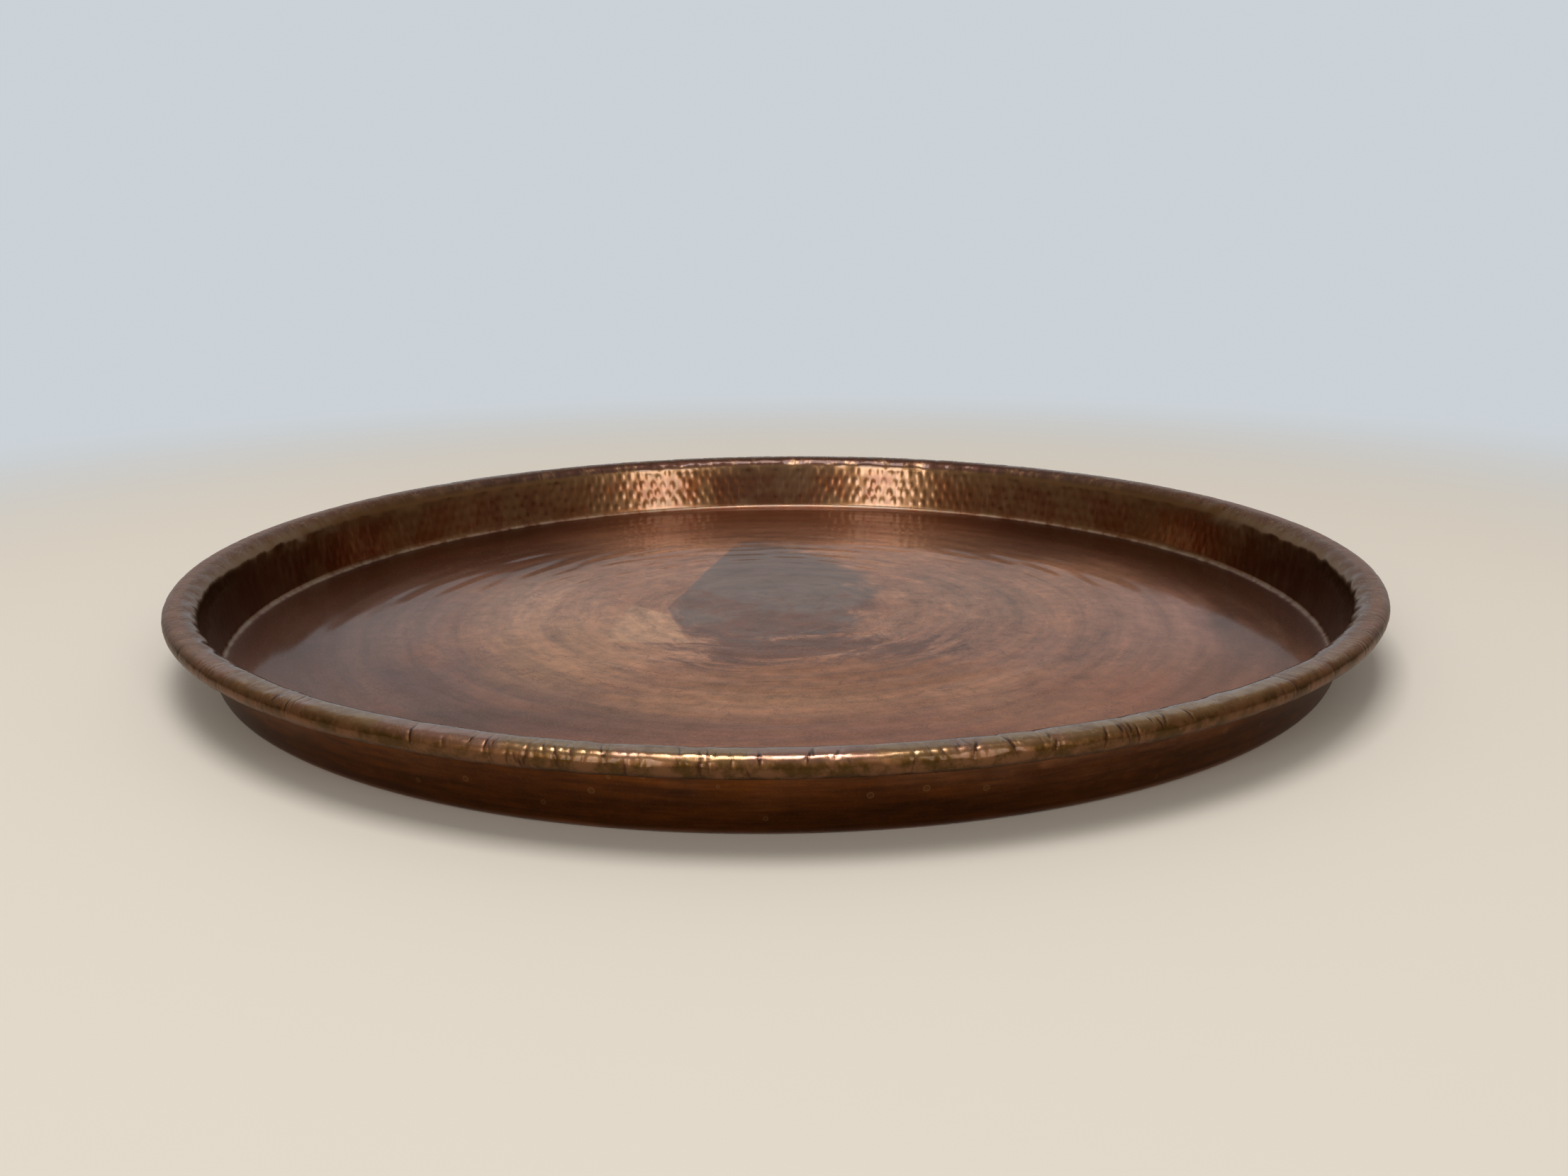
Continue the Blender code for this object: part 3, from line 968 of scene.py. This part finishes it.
def wax_weight(t, at, zone):
    """The wax is thickest on the rim and wall, but not at their sides. On the floor it is thinner where worn,
    towards the front and near the back wall, and it is thinnest outside."""
    floor = t.blend(worn_share(t, at), WAX, WAX_WORN)
    floor = t.product(floor, t.blend(t.step(at.y, *FLOOR_FRONT), WAX_FRONT_SHARE, 1.0))
    floor = t.blend(t.step(at.y, *FLOOR_BACK), floor, WAX_BACK)
    wall = t.blend(on_sides(t, at, WALL_SIDES), WAX_WALL, WAX_OUTSIDE)
    rim = t.blend(on_sides(t, at, RIM_SIDES), WAX_RIM, WAX_RIM_SIDES)
    rim = t.blend(t.step(at.y, *FAR_RIM), rim, WAX_OUTSIDE)
    rim = t.blend(under_bead(t, at), rim, WAX_OUTSIDE)
    wax = t.blend(zone.rim, t.blend(zone.wall, floor, wall), rim)
    return t.blend(zone.outside, wax, WAX_OUTSIDE)


def copper_bump(t, at, texture, zone):
    """Fine rings over the floor and wall, and fine grooves across the rolled rim."""
    on_rim = t.product(zone.rim, t.rest(zone.outside))
    height = t.blend(on_rim, texture.fine_streaks, texture.crossing)
    rings = t.blend(worn_share(t, at), SKIN_BUMP, WORN_BUMP)
    grooves = t.blend(on_sides(t, at, RIM_SIDES), RIM_BUMP, RIM_SIDE_BUMP)
    strength = t.blend(on_rim, rings, grooves)
    return t.node("Bump", {"Height": height, "Strength": strength, "Distance": BUMP_DISTANCE}).outputs[0]


def copper_material():
    """Old copper under a brown skin and a coat of wax, worn back in rings on the floor and on the rim."""
    material = bpy.data.materials.new("copper_patina")
    t = Tree(material)
    at = places(t)
    texture = textures(t, at)
    zone = zones(t, at)
    # The pale line in the corner is a dusty deposit and partly a painted highlight
    dust_and_sheen = corner_dust_and_sheen(t, at, texture)
    t.set(Base_Color=t.mix(dust_and_sheen, copper_colour(t, at, texture, zone), DUST_AND_SHEEN), Specular_Tint=SLANT_TINT)
    t.set(Metallic=t.blend(dust_and_sheen, 1.0, DUST_METALLIC))
    t.set(Roughness=t.blend(dust_and_sheen, copper_roughness(t, at, texture, zone), DUST_ROUGHNESS))
    t.set(Coat_Weight=wax_weight(t, at, zone), Coat_Roughness=WAX_ROUGHNESS)
    t.set(Normal=copper_bump(t, at, texture, zone))
    return material


def iron_material():
    """Dark drawn iron wire with specks of rust."""
    material = bpy.data.materials.new("iron_wire")
    t = Tree(material)
    place = t.node("TexCoord").outputs["Object"]
    rust = t.step(t.noise(place, scale=160.0, detail=4.0, roughness=0.65), 0.5, 0.7)
    drawn = t.noise(place, scale=900.0, detail=2.0)
    bump = t.node("Bump", {"Height": drawn, "Strength": 0.3, "Distance": 0.0002})
    t.set(Base_Color=t.mix(rust, IRON, RUST), Metallic=t.blend(rust, IRON_METALLIC, RUST_METALLIC))
    t.set(Roughness=t.blend(rust, IRON_ROUGHNESS, RUST_ROUGHNESS), Normal=bump.outputs[0])
    return material


# ---- The object ----


def new_object(name, data):
    """An object that is in the scene."""
    made = bpy.data.objects.new(name, data)
    bpy.context.scene.collection.objects.link(made)
    return made


def make_sheet():
    mesh = turned_mesh("copper_tray", section_rings(), hammering())
    mesh.materials.append(copper_material())
    tray = new_object("copper_tray", mesh)
    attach(tray, "root")
    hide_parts("tray_sheet")


def dress_wire():
    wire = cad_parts["rim_wire"]
    wire.data.materials.clear()
    wire.data.materials.append(iron_material())


# ---- Stage ----


def stage_material():
    """A plain pale ground that fades into the backdrop's colour well away from the tray."""
    material = bpy.data.materials.new("stage_floor")
    t = Tree(material)
    x, y, _ = t.node("SeparateXYZ", {0: t.node("TexCoord").outputs["Object"]}).outputs
    fade = t.step(flat_radius(t, x, y), *STAGE_FADE)
    t.set(Base_Color=STAGE_COLOUR, Roughness=STAGE_ROUGHNESS, Alpha=t.rest(fade))
    return material


def make_stage():
    mesh = bpy.data.meshes.new("stage_floor")
    radius = STAGE_FADE[1]
    turns = [2 * math.pi * i / STAGE_CORNERS for i in range(STAGE_CORNERS)]
    ring = [(radius * math.cos(turn), radius * math.sin(turn), 0.0) for turn in turns]
    mesh.from_pydata(ring, [], [tuple(range(STAGE_CORNERS))])
    mesh.materials.append(stage_material())
    new_object("stage_floor", mesh)


def softbox(lamp):
    """A rectangular lamp that faces the tray."""
    turn, rise = math.radians(lamp.azimuth), math.radians(lamp.elevation)
    level = math.cos(rise)
    direction = Vector((math.sin(turn) * level, -math.cos(turn) * level, math.sin(rise)))
    data = bpy.data.lights.new(lamp.name, "AREA")
    data.shape = "RECTANGLE"
    data.size = lamp.width
    data.size_y = lamp.height
    data.energy = lamp.power
    box = new_object(lamp.name, data)
    box.location = direction * lamp.away
    box.rotation_mode = "QUATERNION"
    box.rotation_quaternion = direction.to_track_quat("Z", "Y")
    box.visible_camera = False


def make_world():
    """A pale backdrop ahead, under a ceiling, and behind the camera a dim room with a dark floor and a lit
    middle. The camera itself sees the backdrop's colour all round."""
    world = bpy.data.worlds.new("studio")
    bpy.context.scene.world = world
    t = Tree(world)
    x, y, z = t.node("SeparateXYZ", {0: t.node("TexCoord").outputs["Generated"]}).outputs
    room = t.mix(t.step(t.maths("ABSOLUTE", x), *ROOM_SIDE_X), ROOM_MIDDLE, ROOM_SIDE)
    room = t.mix(t.step(z, *ROOM_FLOOR_Z), ROOM_FLOOR, room)
    room = t.mix(t.step(z, *CEILING_Z), room, CEILING)
    ahead = t.mix(t.step(z, *BACKDROP_TOP_Z), BACKDROP, CEILING)
    light = t.mix(t.step(y, *BACKDROP_Y), room, ahead)
    seen = t.node("LightPath").outputs["Is Camera Ray"]
    t.feed(t.tree.nodes["Background"].inputs["Color"], t.mix(seen, light, BACKDROP))


def make_camera():
    tilt, yaw, roll = (math.radians(v) for v in (CAMERA_DOWN_TILT, CAMERA_YAW, CAMERA_ROLL))
    ahead = Vector((math.sin(yaw) * math.cos(tilt), math.cos(yaw) * math.cos(tilt), -math.sin(tilt)))
    level_right = Vector((math.cos(yaw), -math.sin(yaw), 0.0))
    level_up = level_right.cross(ahead)
    right = math.cos(roll) * level_right + math.sin(roll) * level_up
    up = right.cross(ahead)
    data = bpy.data.cameras.new("camera")
    data.lens = CAMERA_LENS
    camera = new_object("camera", data)
    rotation = Matrix((right, up, -ahead)).transposed().to_4x4()
    place = Vector((0.0, -CAMERA_BACK * RIM_RADIUS, CAMERA_UP * RIM_RADIUS))
    camera.matrix_world = Matrix.Translation(place) @ rotation
    bpy.context.scene.camera = camera


make_sheet()
dress_wire()
make_stage()
make_world()
for lamp in LAMPS:
    softbox(lamp)
make_camera()
bpy.context.scene.view_settings.view_transform = "Standard"
